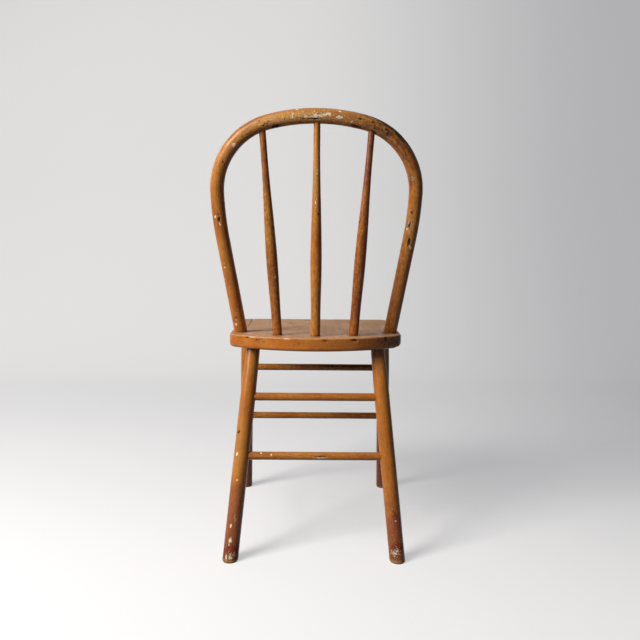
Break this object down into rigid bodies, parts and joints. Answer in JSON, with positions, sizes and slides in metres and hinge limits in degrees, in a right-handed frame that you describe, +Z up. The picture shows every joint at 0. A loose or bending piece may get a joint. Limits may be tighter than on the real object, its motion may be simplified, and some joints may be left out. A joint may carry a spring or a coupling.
{
  "type": "bow-back kitchen chair with peeling paint",
  "caption": "Worn wooden side chair with a plank seat, a bent hoop back with turned spindles, raked round legs and round stretchers, in peeling ochre paint.",
  "frame": {"origin": "on the floor, midway between the outermost points of the feet, in the chair's middle plane", "axes": "+Z up, +Y towards the chair's back, so a sitter faces -Y; +X is on the right of someone who faces the front of the chair"},
  "size_m": [0.427, 0.466, 0.8939],
  "materials": {
    "ochre_paint": "old satin ochre paint on hardwood, chipped to older red, cream and black layers",
    "red_ochre_paint": "thin ochre paint over brick-red paint on hardwood",
    "seat_paint": "dull rubbed and dusty ochre paint on a wooden plank"
  },
  "bodies": {
    "root": {"seat": "seat_paint", "hoop": "ochre_paint", "spindle_left": "red_ochre_paint", "spindle_middle": "ochre_paint", "spindle_right": "ochre_paint", "rear_leg_left": "ochre_paint", "rear_leg_right": "ochre_paint", "front_leg_left": "ochre_paint", "front_leg_right": "ochre_paint", "rear_stretcher_upper": "ochre_paint", "rear_stretcher_lower": "ochre_paint", "front_stretcher_upper": "ochre_paint", "front_stretcher_lower": "ochre_paint", "side_stretcher_left_upper": "ochre_paint", "side_stretcher_left_lower": "ochre_paint", "side_stretcher_right_upper": "ochre_paint", "side_stretcher_right_lower": "ochre_paint"}
  },
  "joints": []
}
